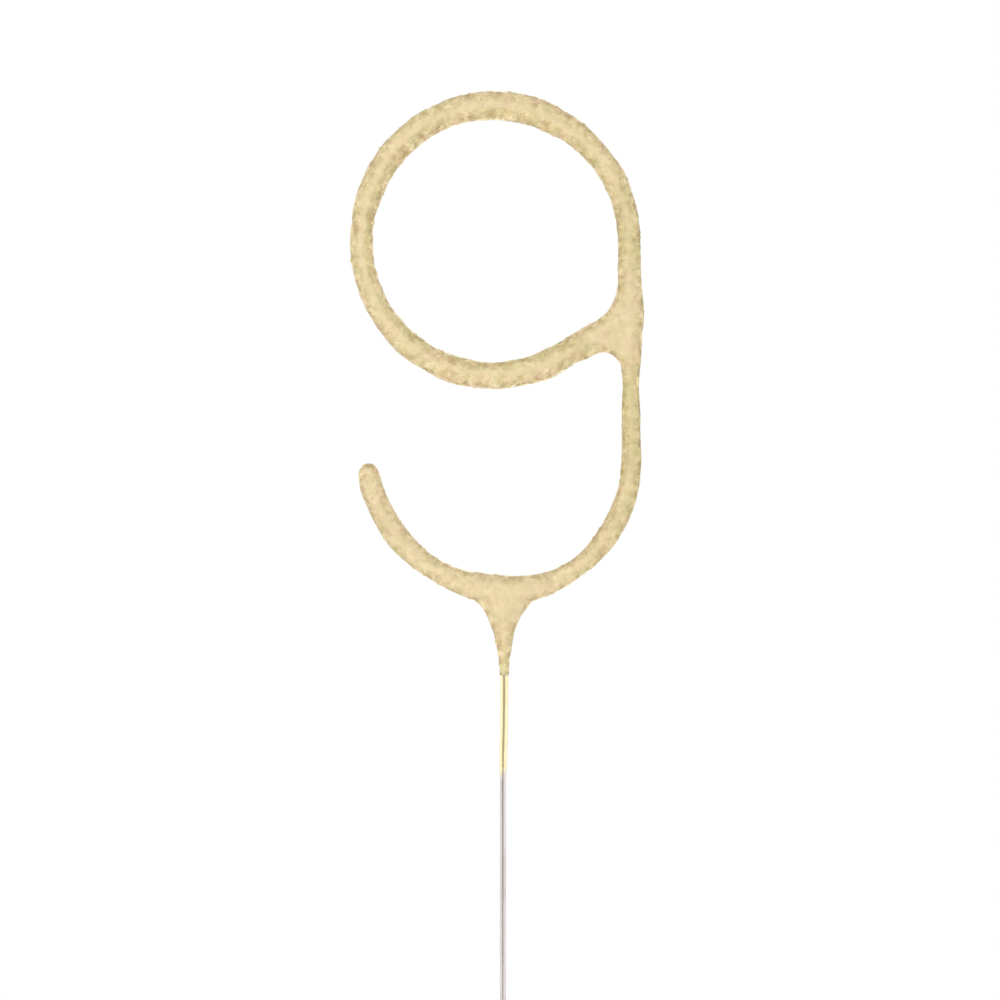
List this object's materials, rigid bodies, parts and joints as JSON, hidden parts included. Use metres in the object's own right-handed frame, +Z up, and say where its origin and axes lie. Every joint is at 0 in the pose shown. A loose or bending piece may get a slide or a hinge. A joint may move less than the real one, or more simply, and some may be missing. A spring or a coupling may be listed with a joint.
{
  "type": "cake sparkler",
  "caption": "Figure-nine cake sparkler: a bent wire dipped in gold-finished spark compound, on a plain wire stem that pushes into a cake.",
  "frame": {"origin": "centre of the stem's lower tip", "axes": "+Z up along the bare stem, +X to the viewer's right when the figure reads as a nine, +Y away from that viewer, with the figure in the XZ plane"},
  "size_m": [0.0518, 0.0052, 0.1779],
  "materials": {
    "wire_steel": "drawn, slightly tarnished",
    "weld_steel": "as welded",
    "spark_compound": "dried, grainy",
    "gold_finish": "grainy champagne gold"
  },
  "bodies": {
    "root": {"stem_wire": "wire_steel", "figure_wire": "wire_steel", "stem_weld": "weld_steel", "loop_weld": "weld_steel", "spark_coating": "spark_compound", "gold_skin": "gold_finish", "stem_lacquer": "gold_finish"}
  },
  "joints": []
}
